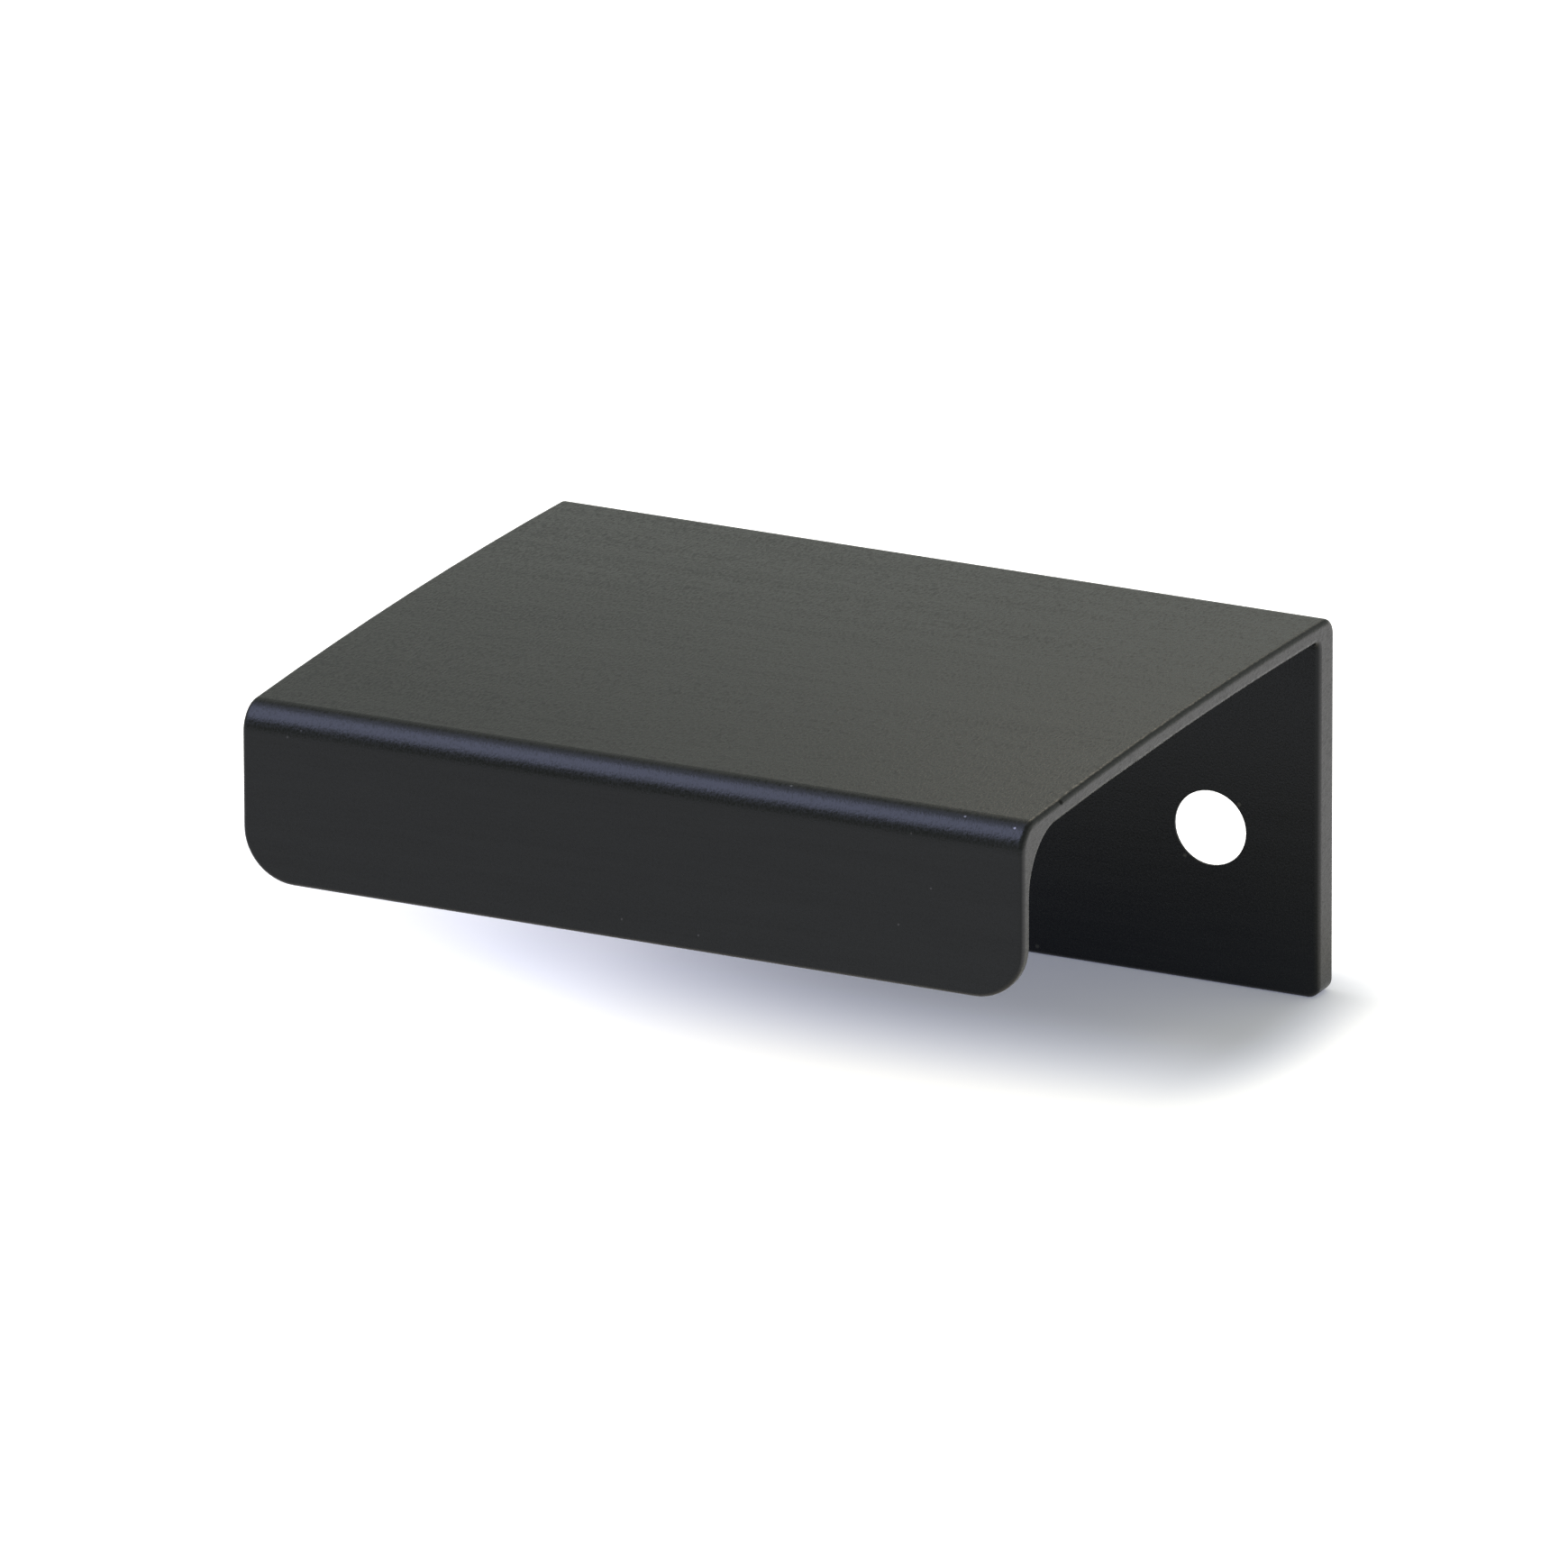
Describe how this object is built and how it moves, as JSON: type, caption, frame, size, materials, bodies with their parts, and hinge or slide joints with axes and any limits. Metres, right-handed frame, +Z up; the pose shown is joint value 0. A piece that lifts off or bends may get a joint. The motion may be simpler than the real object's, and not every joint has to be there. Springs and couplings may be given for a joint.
{
  "type": "cabinet pull",
  "caption": "Short aluminium profile pull that hooks over a door or drawer front's edge, with a finger lip in front and a countersunk screw flange behind.",
  "frame": {"origin": "halfway between the two screw holes, on the flange's inner face, which lies against the back of the door or drawer front", "axes": "+X along the pull's length, -Y out of the cabinet from the flange's inner face towards the lip, +Z up"},
  "size_m": [0.05, 0.0418, 0.0235],
  "materials": {
    "anodised_aluminium": "brushed along its length and anodised black, satin"
  },
  "bodies": {
    "root": {"cabinet_pull": "anodised_aluminium"}
  },
  "joints": []
}
